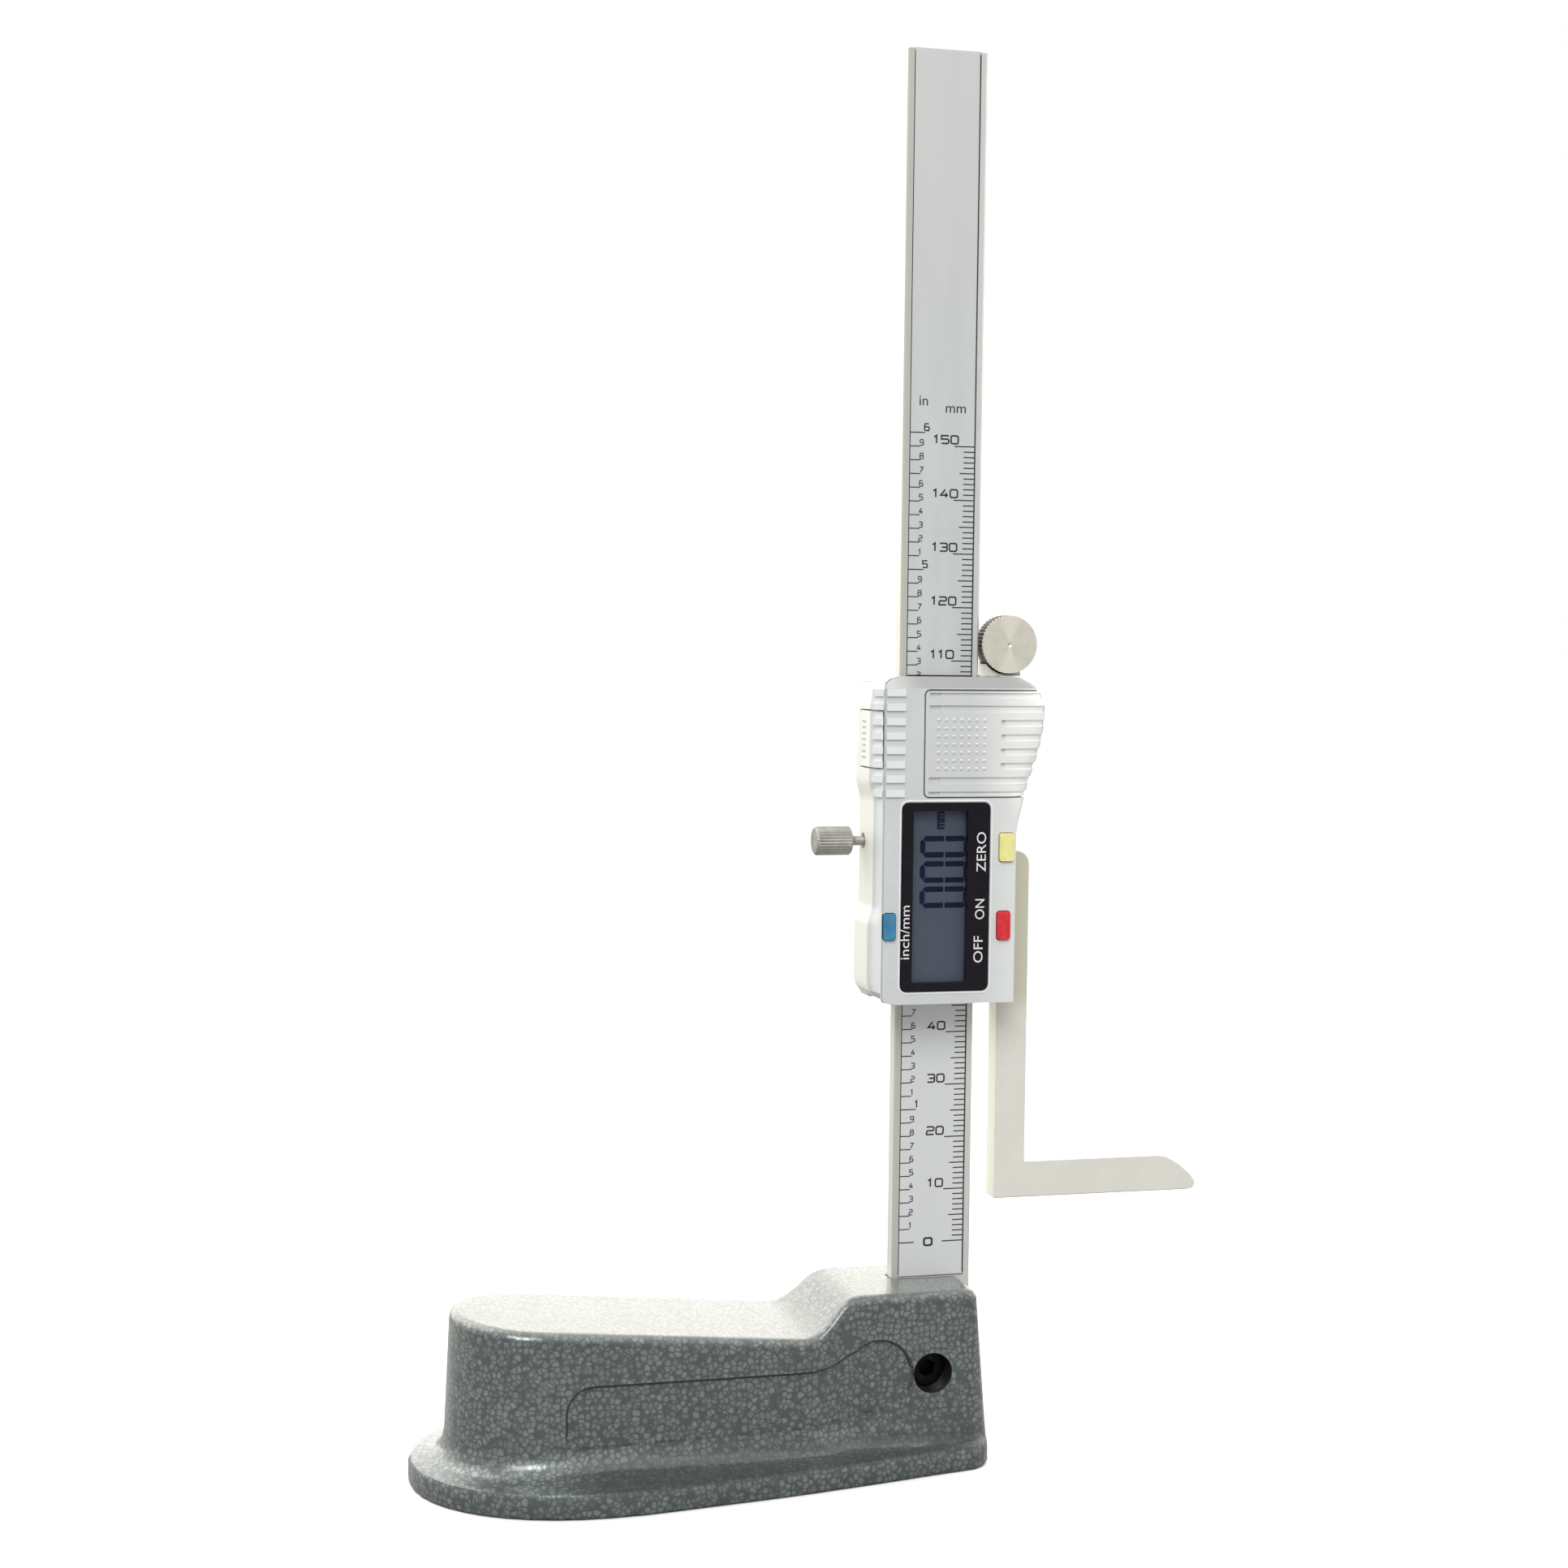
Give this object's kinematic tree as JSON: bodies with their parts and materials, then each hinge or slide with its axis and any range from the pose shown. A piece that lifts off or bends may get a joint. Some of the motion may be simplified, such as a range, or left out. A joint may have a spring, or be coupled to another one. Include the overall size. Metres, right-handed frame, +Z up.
{
  "type": "digital height gauge",
  "caption": "Digital height gauge: cast base, graduated upright beam and a geared slider with read-out, buttons, thumb roller, lock screw and L-shaped scriber",
  "frame": {"origin": "on the sole, under the middle of the beam's width at the face of its scale", "axes": "+Z up along the beam, +X to the right across the beam as the scale is read and along the base towards the scriber, +Y away from the reader"},
  "size_m": [0.1522, 0.052, 0.2625],
  "materials": {
    "hammer_grey": "bluish grey hammertone paint on cast iron",
    "dark_steel": "blackened steel",
    "beam_steel": "ground stainless steel",
    "scale_silver": "satin silver scale film with dark graduations",
    "housing_grey": "silver grey moulded plastic, satin",
    "black_gloss": "gloss black moulded plastic",
    "clear": "clear polished window",
    "lcd_blue": "slate blue liquid crystal glass",
    "rubber": "dark silicone rubber",
    "button_yellow": "yellow plastic, satin",
    "button_red": "red plastic, satin",
    "button_blue": "blue plastic, satin",
    "board_green": "green solder mask",
    "nickel": "nickel plated steel",
    "brass": "rolled brass",
    "frame_steel": "machined stainless steel",
    "scriber_steel": "ground hardened steel"
  },
  "bodies": {
    "base": {"base_casting": "hammer_grey", "base_clamp_screw": "dark_steel", "beam": "beam_steel", "scale_strip": "scale_silver"},
    "slider": {"housing_shell": "housing_grey", "bezel": "black_gloss", "display_window": "clear", "lcd_panel": "lcd_blue", "zebra_left": "rubber", "zebra_right": "rubber", "key_dome_zero": "rubber", "key_dome_power": "rubber", "key_dome_unit": "rubber", "circuit_board": "board_green", "button_cell": "nickel", "cell_contact": "brass", "slider_frame": "frame_steel", "gib_strip": "brass", "gib_screw_low": "dark_steel", "gib_screw_high": "dark_steel", "back_plate": "frame_steel", "rear_screw_low_left": "nickel", "rear_screw_high_left": "nickel", "rear_screw_low_right": "nickel", "rear_screw_bracket": "nickel", "roller_axle": "frame_steel", "roller_bracket": "frame_steel", "scriber": "scriber_steel", "scriber_screw_low": "nickel", "scriber_screw_high": "nickel"},
    "roller": {"thumb_roller": "nickel"},
    "lock": {"lock_screw": "nickel"},
    "key_zero": {"button_zero": "button_yellow"},
    "key_power": {"button_power": "button_red"},
    "key_unit": {"button_unit": "button_blue"},
    "cell_lid": {"battery_cover": "housing_grey"},
    "port_lid": {"port_cover": "housing_grey"}
  },
  "joints": [
    {"name": "slider_travel", "type": "slide", "parent": "base", "child": "slider", "axis": [0, 0, 1], "range_m": [-0.047, 0.103]},
    {"name": "roller_spin", "type": "hinge", "parent": "slider", "child": "roller", "pos_m": [0.0134, 0, 0.1527], "axis": [0, 1, 0], "range_deg": [-1200, 600]},
    {"name": "lock_screw_turn", "type": "hinge", "parent": "slider", "child": "lock", "pos_m": [-0.02, 0.0014, 0.1158], "axis": [1, 0, 0], "range_deg": [-180, 180]},
    {"name": "button_zero_press", "type": "slide", "parent": "slider", "child": "key_zero", "axis": [0, 1, 0], "range_m": [0, 0.0005], "stiffness_N_per_m": 400},
    {"name": "button_power_press", "type": "slide", "parent": "slider", "child": "key_power", "axis": [0, 1, 0], "range_m": [0, 0.0005], "stiffness_N_per_m": 400},
    {"name": "button_unit_press", "type": "slide", "parent": "slider", "child": "key_unit", "axis": [0, 1, 0], "range_m": [0, 0.0005], "stiffness_N_per_m": 400},
    {"name": "battery_cover_slide", "type": "slide", "parent": "slider", "child": "cell_lid", "axis": [1, 0, 0], "range_m": [0, 0.012]},
    {"name": "port_cover_slide", "type": "slide", "parent": "slider", "child": "port_lid", "axis": [-1, 0, 0], "range_m": [0, 0.006]}
  ],
  "couplings": [
    {"joint": "roller_spin", "follows": "slider_travel", "rad_per_m": -181.8}
  ]
}
